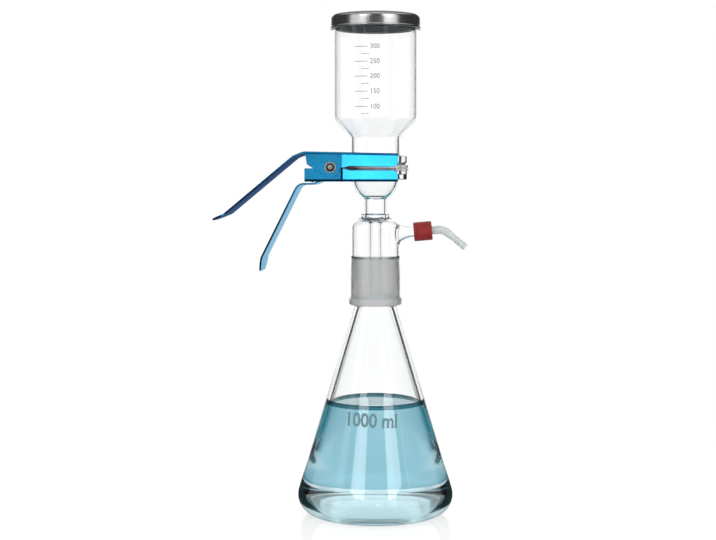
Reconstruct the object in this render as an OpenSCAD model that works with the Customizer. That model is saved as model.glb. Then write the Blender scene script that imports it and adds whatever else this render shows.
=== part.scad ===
// Vacuum filtration unit: flask, filter head, graduated cup, lid and spring clamp.
// Millimetres, +Z up. The origin is the centre of the flask's foot, on the bench.
// The clamp's handles point to -X and the vacuum side arm to +X.

/* [Flask] */
// Widest diameter, just above the foot
flask_d = 134.4; // [120:0.2:150]
// Radius of the rounded heel between foot and cone
flask_heel_r = 17; // [10:0.5:22]
// Wall thickness, all over
flask_wall = 4.6; // [3:0.1:5.5]
// Neck diameter, where the cone ends
flask_neck_d = 36.4; // [34:0.1:38]
// Height at which the cone meets the neck
flask_cone_h = 181; // [160:1:210]
// Height of the neck between cone and ground joint
flask_neck_h = 6; // [4:0.5:12]
// Width of the flat ring that the flask stands on
flask_foot_w = 6; // [3:0.5:12]
// Rise of the pushed-up centre of the bottom
flask_push_up = 3; // [1:0.5:6]

/* [Filtrate] */
// Height of the liquid's surface above the bench
fill_h = 99; // [40:1:125]
// Clearance between the liquid's solid and the glass
fill_gap = 0.05; // [0.02:0.01:0.2]

/* [Ground joint] */
// Diameter of the ground cone at its big end
joint_d = 40; // [39:0.1:40.5]
// Length of the ground cone
joint_len = 35; // [28:1:40]
// Taper of the joint, one in this many
joint_taper = 10; // [8:1:20]
// Wall thickness of the cone at its mouth
joint_wall = 3; // [2:0.1:3.5]
// Radial clearance between cone and socket
joint_gap = 0.05; // [0.02:0.01:0.1]

/* [Filter head] */
// Outer diameter of the vacuum chamber and socket
head_d = 42.7; // [42:0.1:48]
// Wall thickness of the vacuum chamber
head_wall = 2.2; // [1.5:0.1:2.8]
// Height from the joint's big end to the top of the shoulder
head_h = 70.2; // [64:0.2:90]
// Outer radius of the shoulder
head_shoulder_r = 9; // [6:0.5:11]
// Diameter of the collar round the socket's mouth
collar_d = 45.8; // [44:0.1:54]
// Height of the collar
collar_h = 7.8; // [5:0.1:10]
// How far the collar reaches below the joint's big end
collar_drop = 5.5; // [3:0.1:5.8]
// Diameter of the stem under the bowl
stem_d = 20.2; // [18:0.1:24]
// Wall thickness of the stem
stem_wall = 2.6; // [1.5:0.1:3.5]
// Height of the stem, from the shoulder to the bowl
stem_h = 16; // [12:0.5:24]
// Diameter of the ring seal at the stem's foot
seal_d = 25.2; // [24.4:0.1:28]
// Height of the ring seal
seal_h = 4.2; // [3:0.1:6]
// Outer diameter of the drip tube
drip_d = 11.6; // [10:0.1:13]
// Wall thickness of the drip tube
drip_wall = 1.8; // [1:0.1:2.2]
// Height of the drip tip above the joint's big end
drip_tip_h = 3; // [1:0.5:20]
// Outer diameter of the bowl under the frit
bowl_d = 41; // [40:0.1:46]
// Wall thickness of the bowl
bowl_wall = 3; // [2:0.1:3.2]
// Height from the stem to the top of the head's flange
bowl_h = 26.7; // [25:0.1:32]

/* [Flanges] */
// Diameter of both flanges
flange_d = 55.4; // [54:0.1:56.4]
// Diameter of the thin lips at the ground faces
lip_d = 57; // [56.6:0.1:57.2]
// Thickness of each lip
lip_h = 2.6; // [1.5:0.1:4]
// Thickness of the head's flange
head_flange_h = 9.9; // [9:0.1:11]
// Thickness of the cup's flange
cup_flange_h = 10.5; // [9:0.1:11]

/* [Filter] */
// Diameter of the sintered glass disc
frit_d = 38; // [34:0.5:40]
// Thickness of the sintered glass disc
frit_h = 5; // [3:0.1:6]
// Radial clearance between the disc and its seat
frit_gap = 0.05; // [0.02:0.01:0.1]
// Diameter of the membrane filter
membrane_d = 47; // [44:0.5:50]
// Thickness of the membrane filter
membrane_t = 0.2; // [0.1:0.05:0.4]

/* [Cup] */
// Outer diameter of the barrel
cup_d = 73.7; // [66:0.1:75]
// Wall thickness of the barrel
cup_wall = 2.4; // [1.8:0.1:3.2]
// Outer diameter of the neck above the flange
cup_neck_d = 44; // [42:0.1:45]
// Wall thickness of the neck
cup_neck_wall = 2.8; // [2:0.1:3.2]
// Height from the flange's ground face to the foot of the shoulder
cup_neck_h = 26.5; // [26:0.5:34]
// Height of the sloping shoulder
cup_shoulder_h = 15; // [13:0.5:20]
// Height of the straight barrel
cup_barrel_h = 89; // [70:1:110]

/* [Lid] */
// Diameter over the rolled rim
lid_d = 79.8; // [79:0.1:84]
// Height of the lid
lid_h = 12.5; // [11:0.1:16]
// Sheet thickness of the lid
lid_sheet = 1; // [0.7:0.05:1.2]
// Radius of the pressed top edge
lid_edge_r = 4; // [3:0.1:4.2]
// Radius of the rolled rim
lid_roll_r = 1.1; // [1:0.05:1.3]
// Clearance between the lid and the cup's rim
lid_gap = 0.1; // [0.05:0.05:0.3]

/* [Side arm] */
// Height of the arm's axis above the joint's big end, at the centre
arm_h = 54.9; // [50:0.1:56]
// Upward slope of the arm, degrees
arm_rise = 5; // [0:0.5:8]
// Diameter of the arm's neck
arm_neck_d = 9.6; // [9:0.1:11]
// Distance of the neck from the head's axis
arm_neck_s = 31; // [30:0.5:34]
// Radius of the trumpet-shaped root
arm_root_r = 18; // [17:0.5:19]
// Bore of the arm
arm_bore_d = 6; // [4:0.1:6.4]
// Diameter of the threaded end
arm_thread_d = 12.2; // [11.6:0.1:12.4]
// Length of the threaded end
arm_thread_len = 13; // [11:0.5:16]

/* [Screw cap and hose connector] */
// Outer diameter of the screw cap
cap_d = 16.4; // [15.8:0.1:20]
// Thickness of the cap's end wall
cap_end = 1.6; // [1:0.1:2.5]
// Length of the cap
cap_len = 15.8; // [13:0.1:16]
// Clearance of the cap over the thread
cap_gap = 0.1; // [0.05:0.01:0.1]
// Depth of the grip flutes
cap_flute = 0.35; // [0.2:0.05:0.5]
// Number of grip flutes
cap_flutes = 24; // [12:2:36]
// Thickness of the silicone seal
seal_t = 1.8; // [1:0.1:2.5]
// Thickness of the connector's flange
conn_flange_t = 1.6; // [1:0.1:2.5]
// Diameter of the seal and of the connector's flange
conn_flange_d = 11.8; // [10.5:0.1:12]
// Axial clearance under the cap's end wall
conn_gap = 0.1; // [0.05:0.05:0.2]
// Outer diameter of the connector's shank
conn_d = 7.2; // [6.6:0.1:7.6]
// Bore of the connector
conn_bore_d = 4; // [3:0.1:4.2]
// Distance from the flange to the corner of the bend
conn_corner = 13.2; // [11:0.1:20]
// Angle of the bend, degrees
conn_bend = 44; // [20:1:90]
// Centreline radius of the bend
conn_bend_r = 12; // [9:0.5:13]
// Distance from the corner of the bend to the tip
conn_leg = 24.7; // [22:0.1:34]
// Diameter of the barbed end between its barbs
barb_root_d = 5.4; // [5.2:0.1:6]
// Diameter over the barbs
barb_d = 6.6; // [6.2:0.1:7]
// Length of one barb
barb_len = 3.6; // [2.5:0.1:4]
// Number of barbs
barbs = 3; // [1:1:4]

/* [Clamp] */
// Sheet thickness of both clamp halves
sheet = 1.6; // [1.2:0.1:2]
// Distance from the flanges to the outside of the walls at the pivot
clamp_clear = 4.8; // [4.3:0.1:8]
// Distance of the pivot behind the flanges
pivot_clear = 9.7; // [8.3:0.1:16]
// Height of the pivot above the ground faces
pivot_up = 0.5; // [-1:0.1:1]
// Length of the walls behind the pivot
clamp_tail = 22; // [18:0.5:30]
// Length of the jaws in front of the pivot
clamp_reach = 57.1; // [52:0.1:60]
// Distance from the pivot to the fold where the walls turn inwards
clamp_fold = 9.6; // [9.2:0.1:12]
// Inward turn of the walls in front of the fold, degrees
clamp_toe = 4; // [2:0.1:4.2]
// Radius of the slot that takes the neck and the bowl
slot_r = 23.6; // [23.2:0.1:25]
// Radius of the ears round the pivot
ear_r = 8.5; // [7:0.1:9]
// Sideways clearance between the nested walls
nest_gap = 0.15; // [0.1:0.05:0.3]
// Clearance between a jaw and the flange that it grips
grip_gap = 0.15; // [0.1:0.05:0.3]
// Forward droop of the upper jaw, degrees
jaw_droop = 1.2; // [0:0.1:2]
// Height of the opening between the jaws' lower and upper edges
jaw_gap_h = 4.2; // [2:0.1:6]
// Outer radius of the folds
fold_r = 2; // [1.7:0.1:3]

/* [Clamp handles] */
// Width of the handles
handle_w = 59; // [50:0.5:60]
// Corner radius of the handle tips
handle_tip_r = 14; // [8:0.5:20]
// Radius of the bends, on the inside
handle_bend_r = 7; // [3:0.5:8]
// Length of the first, shallow part of the upper handle
root_len = 9.5; // [6:0.1:14]
// Slope of the first part of the upper handle, degrees
root_angle = 23; // [10:1:35]
// Length of the grip of the upper handle
upper_grip_len = 77; // [60:1:95]
// Slope of the upper grip, degrees
upper_grip_angle = 41; // [37:0.5:45]
// Length of the grip of the lower handle
lower_grip_len = 71; // [60:1:90]
// Slope of the lower grip, degrees
lower_grip_angle = 63.5; // [61:0.5:68]
// Length of the flared tips
flare_len = 12; // [8:0.5:16]
// Outward turn of the flared tips, degrees
flare_turn = 17; // [5:1:25]
// Step down from the lower jaw to its handle
step_down = 2.6; // [2:0.1:3.5]
// Distance behind the pivot where the step begins
step_back = 9; // [7:0.1:11]
// Distance behind the pivot where the lower handle turns down
lower_turn_back = 28; // [26:0.1:34]

/* [Pivot] */
// Diameter of the pivot screw
pivot_d = 4; // [3:0.1:4.5]
// Diametral clearance of the upper ears on the screw
pivot_run = 0.12; // [0.04:0.02:0.18]
// Diametral clearance of the fixed pieces on the screw
pivot_fit = 0.1; // [0.04:0.02:0.2]
// Diameter of the screw head
head_screw_d = 7; // [6:0.1:8]
// Height of the screw head
head_screw_h = 2.2; // [1.6:0.1:3]
// Length of the cross recess's slots
recess_len = 3.9; // [3:0.1:4.5]
// Width of the cross recess's slots
recess_w = 0.9; // [0.6:0.1:1.2]
// Diameter of the washers
washer_d = 9.6; // [9:0.1:11]
// Thickness of the washers
washer_t = 0.8; // [0.5:0.1:1]
// Width of the nut across its flats
nut_flats = 7; // [6:0.1:8]
// Thickness of the nut
nut_t = 3.2; // [2:0.1:4]
// Length of screw that stands out of the nut
screw_end = 0.8; // [0.5:0.1:2]
// End play of the washers and the sleeve
pivot_play = 0.1; // [0.05:0.05:0.2]
// Diameter of the sleeve inside the spring
sleeve_d = 7; // [6:0.1:7.4]

/* [Spring] */
// Wire diameter
wire_d = 1.8; // [1.2:0.1:2]
// Mean radius of the coil
coil_r = 5; // [4.8:0.1:5.4]
// Whole turns of the coil
coil_turns = 6; // [3:1:9]
// Distance between turns
coil_pitch = 2.1; // [2.05:0.05:3]
// Distance from the pivot to the ends of the spring's legs
leg_reach = 18.5; // [14:0.5:20]
// Clearance between a leg's end and the sheet that it presses
leg_gap = 0.2; // [0.1:0.05:0.3]

/* [Hidden] */
$fn = 96;
// Longer than any piece, and how far a cutter passes the face that it cuts
far = 200;
over = 1;
// How far a rounding starts outside the side that it rounds, so that the two cross
skim = 0.05;
// Radii of fire-polished edges and of seams in the glass
edge_r = 0.4;
melt_r = 1;
// Width of the slope between the flask's foot and its pushed-up bottom
foot_slope = 8;
// Turn of the side arm's trumpet from its neck to the chamber, degrees
arm_root_turn = 56;
// Half of the gap between the clamp halves along their parting line
part_gap = 0.3;
// Length over which the opening between the jaws widens
jaw_open_len = 7.5;
// Length of the lower handle's step
step_run = 5.5;
// Overlap of the connector's straight parts with its bend, which is this much thicker
bend_lap = 0.4;
bend_swell = 0.05;
// Length of a barb's steep side
barb_step = 0.3;

// Colours
glass = [0.86, 0.93, 0.95, 0.45];
liquid = [0.45, 0.74, 0.8, 0.8];
anodised = [0.05, 0.55, 0.78];
steel = "silver";

// Heights of the stack, from the bench up
joint_z = flask_cone_h + flask_neck_h;
shoulder_z = joint_z + head_h;
bowl_z = shoulder_z + stem_h;
ground_z = bowl_z + bowl_h;
cup_z = ground_z + membrane_t;
rim_z = cup_z + cup_neck_h + cup_shoulder_h + cup_barrel_h;
lid_top = rim_z + lid_gap + lid_sheet;

// Ground joint
joint_top = joint_z + joint_len;
mouth_chamfer = 0.6;
function joint_r(z) = joint_d / 2 - (z - joint_z) / joint_taper / 2;

// Side arm and what is screwed to it, measured along the arm's axis
arm_end = arm_neck_s + arm_thread_len;
arm_step = 1.2;
flange_s = arm_end + seal_t;
cap_inner_s = flange_s + conn_flange_t + conn_gap;
cap_end_s = cap_inner_s + cap_end;

// Clamp
pivot_z = ground_z + pivot_up;
lower_top = ground_z - head_flange_h - grip_gap;
clamp_half_w = flange_d / 2 + clamp_clear;
pivot_back = flange_d / 2 + pivot_clear;
flange_front = sqrt(pow(flange_d / 2, 2) - pow(slot_r, 2));
upper_under = cup_z + cup_flange_h + grip_gap + (pivot_back + flange_front) * tan(jaw_droop);
nested_half_w = clamp_half_w - sheet - nest_gap;
sleeve_len = 2 * (nested_half_w - sheet - pivot_play);
washer_y = clamp_half_w + pivot_play;

// Unit vector along v, and the vector a quarter turn to its left
function unit(v) = v / norm(v);
function left_of(v) = [-v.y, v.x];

// Points of an arc about c, from angle a to angle b
function arc(c, r, a, b, n = 8) = [for (i = [0:n]) c + r * [cos(a + (b - a) * i / n), sin(a + (b - a) * i / n)]];

// Corner q between p and s, rounded with radius r
function corner(p, q, s, r) =
    r <= 0 ? [q] :
    let (
        u = unit(p - q),
        v = unit(s - q),
        half = acos(u * v) / 2,
        c = q + unit(u + v) * r / sin(half),
        a = atan2(q.y + u.y * r / tan(half) - c.y, q.x + u.x * r / tan(half) - c.x),
        b = atan2(q.y + v.y * r / tan(half) - c.y, q.x + v.x * r / tan(half) - c.x),
        turn = (b - a + 540) % 360 - 180
    )
    arc(c, r, a, a + turn);

// Closed outline whose points are [x, y, corner radius]
function rounded(pts) =
    let (n = len(pts))
    [for (i = [0:n - 1])
        let (p = pts[(i + n - 1) % n], q = pts[i], s = pts[(i + 1) % n])
        each corner([p.x, p.y], [q.x, q.y], [s.x, s.y], q.z)];

// Path moved sideways to its left by d, with mitred corners
function shifted(path, d) =
    let (n = len(path))
    [for (i = [0:n - 1])
        let (
            a = unit(path[max(i, 1)] - path[max(i, 1) - 1]),
            b = unit(path[min(i + 1, n - 1)] - path[min(i, n - 2)])
        )
        path[i] + (left_of(a) + left_of(b)) * d / (1 + a * b)];

// Closed outline of a strip of thickness t to the left of a path, bent with inside radius r
function strip(path, t, r) =
    let (
        n = len(path),
        side = shifted(path, t),
        turn = [for (i = [0:n - 1]) (i == 0 || i == n - 1) ? 0
            : sign((path[i] - path[i - 1]) * left_of(path[i + 1] - path[i]))],
        near = [for (i = [0:n - 1]) [path[i].x, path[i].y, turn[i] == 0 ? 0 : turn[i] < 0 ? r + t : r]],
        back = [for (i = [n - 1:-1:0]) [side[i].x, side[i].y, turn[i] == 0 ? 0 : turn[i] < 0 ? r : r + t]]
    )
    rounded(concat(near, back));

// Point where a line from p touches the circle of radius r about c, seen on the given side
function tangent_point(p, c, r, side) =
    let (a = atan2(p.y - c.y, p.x - c.x) + side * acos(r / norm(p - c)))
    c + r * [cos(a), sin(a)];

// Point at distance d and angle a from p
function polar(p, d, a) = p + d * [cos(a), sin(a)];

module turned(pts) {
    rotate_extrude() polygon(pts);
}

// Places its children with Z along the side arm's axis, Z = 0 on the head's axis
module on_arm() {
    translate([0, 0, joint_z + arm_h]) rotate([0, 90 - arm_rise, 0]) children();
}

// Places its children with Z along the pivot, towards the rear (+Y)
module on_pivot() {
    translate([-pivot_back, 0, pivot_z]) rotate([-90, 0, 0]) children();
}

// Extrudes an outline drawn in X and Z to a width w, centred on Y = 0
module across(w) {
    rotate([90, 0, 0]) linear_extrude(w, center = true) children();
}

// ---- Flask ----

heel_c = [flask_d / 2 - flask_heel_r, flask_heel_r];
neck_p = [flask_neck_d / 2, flask_cone_h];
heel_turn = atan2(neck_p.y - heel_c.y, neck_p.x - heel_c.x) - acos(flask_heel_r / norm(neck_p - heel_c));
foot_in = heel_c.x - flask_foot_w;

// Heel and cone of the flask at a depth d below its outer surface
function flask_side(d) = concat(
    arc(heel_c, flask_heel_r - d, -90, heel_turn, 12),
    [[neck_p.x - d / cos(heel_turn), neck_p.y]]);

module flask() {
    chamfer_z = joint_top - mouth_chamfer;
    mouth_r = joint_r(joint_top) - joint_wall;
    inside = flask_side(flask_wall);
    color(glass) turned(concat(
        [[0, flask_push_up], [foot_in - foot_slope, flask_push_up], [foot_in, 0]],
        flask_side(0),
        [[joint_r(joint_z) - mouth_chamfer, joint_z - mouth_chamfer], [joint_r(joint_z), joint_z]],
        [[joint_r(chamfer_z), chamfer_z], [joint_r(joint_top) - mouth_chamfer, joint_top]],
        [[mouth_r + mouth_chamfer, joint_top], [mouth_r, chamfer_z]],
        [[neck_p.x - flask_wall, joint_z + flask_neck_h]],
        [for (i = [len(inside) - 1:-1:0]) inside[i]],
        [[foot_in - foot_slope, flask_push_up + flask_wall], [0, flask_push_up + flask_wall]]));
}

module filtrate() {
    d = flask_wall + fill_gap;
    color(liquid) intersection() {
        turned(concat(
            [[0, flask_push_up + d], [foot_in - foot_slope, flask_push_up + d]],
            flask_side(d),
            [[0, flask_cone_h]]));
        cylinder(h = fill_h, r = flask_d);
    }
}

// ---- Filter head ----

bowl_r = bowl_d / 2;
bowl_c = [0, bowl_z + sqrt(pow(bowl_r, 2) - pow(stem_d / 2, 2))];
bowl_in = bowl_r - bowl_wall;
stem_in = stem_d / 2 - stem_wall;
drip_in = drip_d / 2 - drip_wall;
mouth_z = joint_z - collar_drop;
frit_z = ground_z - frit_h;
frit_seat = frit_d / 2 + frit_gap;
collar_r = 2.2;
funnel_h = 4;
flange_blend = 2;

// Outside of the head, filled in
module head_outside() {
    r = head_d / 2;
    under = ground_z - head_flange_h;
    turned(rounded([
        [0, mouth_z, 0],
        [collar_d / 2, mouth_z, collar_r],
        [collar_d / 2, mouth_z + collar_h - collar_r, collar_r],
        [r, mouth_z + collar_h, melt_r],
        [r, shoulder_z, head_shoulder_r],
        [seal_d / 2 - edge_r, shoulder_z, 0],
        [seal_d / 2, shoulder_z + melt_r, edge_r],
        [seal_d / 2, shoulder_z + seal_h - 1.5 * melt_r, melt_r],
        [stem_d / 2, shoulder_z + seal_h, melt_r],
        [stem_d / 2, bowl_z, 0],
        [0, bowl_z, 0]]));
    turned(concat(
        [[0, bowl_z], [stem_d / 2, bowl_z]],
        arc(bowl_c, bowl_r, asin((bowl_z - bowl_c.y) / bowl_r), asin((under - bowl_c.y) / bowl_r), 10),
        rounded([
            [bowl_r - flange_blend, under, 0],
            [flange_d / 2, under, melt_r],
            [flange_d / 2, ground_z - lip_h, 0],
            [lip_d / 2, ground_z - lip_h, edge_r],
            [lip_d / 2, ground_z, edge_r],
            [0, ground_z, 0]])));
}

// Vacuum chamber and ground socket, round the drip tube
module head_chamber() {
    r = head_d / 2 - head_wall;
    roof = shoulder_z - head_wall;
    tip = joint_z + drip_tip_h;
    lead_in = joint_d / 2 + mouth_chamfer;
    turned(rounded([
        [0, mouth_z - over, 0],
        [lead_in, mouth_z - over, 0],
        [lead_in, mouth_z, 0],
        [joint_r(joint_z) + joint_gap, joint_z, 0],
        [joint_r(joint_top) + joint_gap, joint_top, 0],
        [r, joint_top + 2 * melt_r, melt_r],
        [r, roof, head_shoulder_r - head_wall],
        [drip_d / 2, roof, melt_r],
        [drip_d / 2, tip, 0],
        [0, tip, 0]]));
}

// Frit seat, bowl, stem and the bore of the drip tube
module head_bore() {
    turned(concat(
        [[0, joint_z], [drip_in, joint_z], [drip_in, shoulder_z - funnel_h], [stem_in, shoulder_z]],
        arc(bowl_c, bowl_in, -acos(stem_in / bowl_in), asin((frit_z - bowl_c.y) / bowl_in), 10),
        [[frit_seat, frit_z], [frit_seat, ground_z + over], [0, ground_z + over]]));
}

// Trumpet-shaped root of the side arm with a neck of radius r
module arm_root(r, root_r) {
    turned(concat(
        [[0, arm_neck_s]],
        arc([r + root_r, arm_neck_s], root_r, 180, 180 + arm_root_turn, 12),
        [[0, arm_neck_s - root_r * sin(arm_root_turn)]]));
}

module filter_head() {
    arm_in = arm_bore_d / 2;
    color(glass) difference() {
        union() {
            head_outside();
            on_arm() {
                arm_root(arm_neck_d / 2, arm_root_r);
                translate([0, 0, arm_neck_s]) cylinder(h = arm_step + over, r = arm_neck_d / 2);
                translate([0, 0, arm_neck_s + arm_step])
                    cylinder(h = arm_thread_len - arm_step, r = arm_thread_d / 2);
            }
        }
        head_chamber();
        head_bore();
        on_arm() {
            arm_root(arm_in, arm_root_r + arm_neck_d / 2 - arm_in);
            translate([0, 0, arm_neck_s]) cylinder(h = arm_thread_len + over, r = arm_in);
        }
    }
}

module frit_disc() {
    color("white") translate([0, 0, frit_z]) cylinder(h = frit_h, r = frit_d / 2);
}

module membrane_filter() {
    color("white") translate([0, 0, ground_z]) cylinder(h = membrane_t, r = membrane_d / 2);
}

// ---- Cup and lid ----

groove_d = 4;
cup_foot_r = 4;
cup_shoulder_r = 9;
cup_rim_r = 1.08;
skirt_set = 0.6;

module cup() {
    neck_in = cup_neck_d / 2 - cup_neck_wall;
    barrel_in = cup_d / 2 - cup_wall;
    foot_z = cup_z + cup_neck_h;
    shoulder_top = foot_z + cup_shoulder_h;
    lift = tan(atan2((cup_d - cup_neck_d) / 2, cup_shoulder_h) / 2);
    flange_top = cup_z + cup_flange_h;
    lip_top = cup_z + lip_h;
    color(glass) turned(rounded([
        [neck_in, cup_z, 0],
        [lip_d / 2, cup_z, edge_r],
        [lip_d / 2, lip_top, edge_r],
        [flange_d / 2 - groove_d, lip_top, 0],
        [flange_d / 2, lip_top, groove_d - edge_r],
        [flange_d / 2, flange_top, melt_r],
        [cup_neck_d / 2, flange_top, melt_r],
        [cup_neck_d / 2, foot_z, cup_foot_r],
        [cup_d / 2, shoulder_top, cup_shoulder_r],
        [cup_d / 2, rim_z, cup_rim_r],
        [barrel_in, rim_z, cup_rim_r],
        [barrel_in, shoulder_top + cup_wall * lift, cup_shoulder_r - cup_wall],
        [neck_in, foot_z + cup_neck_wall * lift, cup_foot_r + cup_neck_wall]]));
}

module lid() {
    bottom = lid_top - lid_h;
    skirt = lid_d / 2 - skirt_set;
    color(steel) rotate_extrude() {
        polygon(rounded([
            [0, lid_top, 0],
            [0, lid_top - lid_sheet, 0],
            [skirt - lid_sheet, lid_top - lid_sheet, lid_edge_r - lid_sheet],
            [skirt - lid_sheet, bottom + lid_roll_r, 0],
            [skirt, bottom + lid_roll_r, 0],
            [skirt, lid_top, lid_edge_r]]));
        translate([lid_d / 2 - lid_roll_r, bottom + lid_roll_r]) circle(r = lid_roll_r);
    }
}

// ---- Clamp ----

tail_x = -pivot_back - clamp_tail;
reach_x = clamp_reach - pivot_back;
fold_x = clamp_fold - pivot_back;
pivot_p = [-pivot_back, pivot_z];
upper_top = upper_under + sheet;
lower_bottom = lower_top - sheet;
step_x = -pivot_back - step_back;
turn_x = -pivot_back - lower_turn_back;
jaw_corner_r = 4.5;
tail_slant = 2.1;
handle_set = 1.5;

// Half width of the jaws at x, outside
function half_at(x) = clamp_half_w - max(0, x - fold_x) * tan(clamp_toe);

// Near wall of each half in plan, from rear to front, with its ends drawn out by e
function upper_plan(e) = [
    [tail_x - e, -clamp_half_w],
    [fold_x, -clamp_half_w],
    [reach_x + e, -half_at(reach_x + e)]];
function lower_plan(e) =
    let (a = -pivot_back + ear_r + 2 * nest_gap, b = a + clamp_half_w - nested_half_w)
    [[tail_x - e, -nested_half_w], [a, -nested_half_w], [b, -half_at(b)],
        [reach_x + e, -half_at(reach_x + e)]];

// A side in plan together with its mirror image
function both_sides(path) = concat(path, [for (i = [len(path) - 1:-1:0]) [path[i].x, -path[i].y]]);

// Material outside the rounded fold between plate and wall, along p to q
module fold_cut(p, q) {
    d = q - p;
    translate([p.x, p.y, 0]) rotate([0, 0, atan2(d.y, d.x)]) rotate([90, 0, 90])
        linear_extrude(norm(d)) difference() {
            translate([-over, -over]) square(fold_r + over);
            translate([fold_r, fold_r]) circle(r = fold_r);
        }
}

// Plate with upturned walls of height h, its plate's outer face at Z = 0
module folded_tray(plan, open_plan, h) {
    difference() {
        linear_extrude(h) polygon(both_sides(plan));
        translate([0, 0, sheet]) linear_extrude(h) polygon(both_sides(shifted(open_plan, sheet)));
        for (side = [0, 1], i = [0, len(plan) - 2])
            mirror([0, side, 0]) fold_cut(plan[i], plan[i + 1]);
        slot();
    }
}

// Slot that takes the glass, open to the front
module slot() {
    translate([0, 0, -over]) cylinder(h = sheet + 2 * over, r = slot_r);
    translate([0, -slot_r, -over]) cube([far, 2 * slot_r, sheet + 2 * over]);
}

// Rounded corners of a handle's tip at p, which points along the angle a
module tip_cut(p, a) {
    side_y = handle_w / 2;
    translate([p.x, 0, p.y]) rotate([0, -a, 0]) for (side = [0, 1]) mirror([0, side, 0])
        translate([0, 0, -handle_tip_r]) linear_extrude(2 * handle_tip_r) polygon(concat(
            [[-handle_tip_r, side_y + over]],
            arc([-handle_tip_r, side_y - handle_tip_r], handle_tip_r + skim, 90, 0, 16),
            [[over, side_y - handle_tip_r], [over, side_y + over]]));
}

// Handle whose outer face follows a path, from the jaw to the tip
module handle(path) {
    n = len(path);
    d = path[n - 1] - path[n - 2];
    difference() {
        across(handle_w) polygon(strip(path, sheet, handle_bend_r));
        tip_cut(path[n - 1], atan2(d.y, d.x));
    }
}

module pivot_holes(d) {
    on_pivot() translate([0, 0, -far]) cylinder(h = 2 * far, r = d / 2);
}

// Jaw edge: from the fold it opens away from the parting line by the step h
module jaw_side(edge, h, base) {
    polygon(rounded([
        [-pivot_back, base, 0],
        [-pivot_back, edge, 0],
        [fold_x, edge, 0],
        [fold_x + jaw_open_len, edge + h, jaw_corner_r],
        [reach_x, edge + h, jaw_corner_r],
        [reach_x, base, 0]]));
}

module upper_jaw() {
    edge = ground_z + part_gap;
    tail_low = [tail_x + tail_slant, pivot_z + tail_slant];
    root = [tail_x - handle_set, upper_top];
    bend = polar(root, root_len, 180 + root_angle);
    flare = polar(bend, upper_grip_len, 180 + upper_grip_angle);
    tip = polar(flare, flare_len, 180 + upper_grip_angle - flare_turn);
    color(anodised)
    translate([-pivot_back, 0, pivot_z]) rotate([0, jaw_droop, 0]) translate([pivot_back, 0, -pivot_z])
    difference() {
        union() {
            intersection() {
                translate([0, 0, upper_top]) mirror([0, 0, 1])
                    folded_tray(upper_plan(0), upper_plan(over), upper_top - pivot_z + ear_r + over);
                across(far) {
                    polygon([[tail_x, upper_top], tail_low, tangent_point(tail_low, pivot_p, ear_r, 1),
                        pivot_p, [-pivot_back, upper_top]]);
                    translate(pivot_p) circle(r = ear_r);
                    jaw_side(edge, jaw_gap_h / 2 - part_gap, upper_top);
                }
            }
            handle([[tail_x + 2 * sheet, upper_top], root, bend, flare, tip]);
        }
        pivot_holes(pivot_d + pivot_run);
    }
}

module lower_jaw() {
    edge = ground_z - part_gap;
    step_low = [step_x - step_run, lower_top - step_down];
    turn = [turn_x, step_low.y];
    flare = polar(turn, lower_grip_len, 180 + lower_grip_angle);
    tip = polar(flare, flare_len, 180 + lower_grip_angle + flare_turn);
    color(anodised) difference() {
        union() {
            intersection() {
                difference() {
                    translate([0, 0, lower_bottom])
                        folded_tray(lower_plan(0), lower_plan(over), pivot_z + ear_r + over - lower_bottom);
                    translate([step_x - far, sheet - nested_half_w, lower_bottom - over])
                        cube([far, 2 * (nested_half_w - sheet), sheet + over]);
                }
                across(far) {
                    polygon([[tail_x, lower_bottom], [-pivot_back, lower_bottom],
                        [-pivot_back, edge], [tail_x, edge]]);
                    translate(pivot_p) circle(r = ear_r - 2 * nest_gap);
                    jaw_side(edge, part_gap - jaw_gap_h / 2, lower_bottom);
                }
            }
            handle([[step_x + 2 * sheet, lower_top], [step_x, lower_top], step_low, turn, flare, tip]);
        }
        pivot_holes(pivot_d + pivot_fit);
    }
}

// ---- Pivot ----

recess_turn = 20;
recess_depth = 1.3;
head_round = 1.3;

module pivot_screw() {
    under = washer_y + washer_t;
    sink = (head_screw_h - recess_depth) / 2;
    color(steel) on_pivot() {
        translate([0, 0, -under - sink])
            cylinder(h = sink + 2 * under + nut_t + screw_end, r = pivot_d / 2);
        difference() {
            turned(rounded([
                [0, -under, 0],
                [head_screw_d / 2, -under, 0],
                [head_screw_d / 2, -under - head_screw_h, head_round],
                [0, -under - head_screw_h, 0]]));
            for (a = [0, 90])
                rotate([0, 0, a + recess_turn])
                    translate([-recess_len / 2, -recess_w / 2, -under - head_screw_h - over])
                    cube([recess_len, recess_w, over + recess_depth]);
        }
    }
}

module washer(y) {
    color(steel) on_pivot() translate([0, 0, y]) difference() {
        cylinder(h = washer_t, r = washer_d / 2);
        translate([0, 0, -over]) cylinder(h = washer_t + 2 * over, r = (pivot_d + pivot_fit) / 2);
    }
}

module front_washer() {
    washer(-washer_y - washer_t);
}

module rear_washer() {
    washer(washer_y);
}

module pivot_nut() {
    color(steel) on_pivot() translate([0, 0, washer_y + washer_t]) difference() {
        cylinder(h = nut_t, r = nut_flats / 2 / cos(30), $fn = 6);
        translate([0, 0, -over]) cylinder(h = nut_t + 2 * over, r = (pivot_d + pivot_fit) / 2);
    }
}

module spring_sleeve() {
    color(steel) on_pivot() translate([0, 0, -sleeve_len / 2]) difference() {
        cylinder(h = sleeve_len, r = sleeve_d / 2);
        translate([0, 0, -over]) cylinder(h = sleeve_len + 2 * over, r = (pivot_d + pivot_fit) / 2);
    }
}

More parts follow.
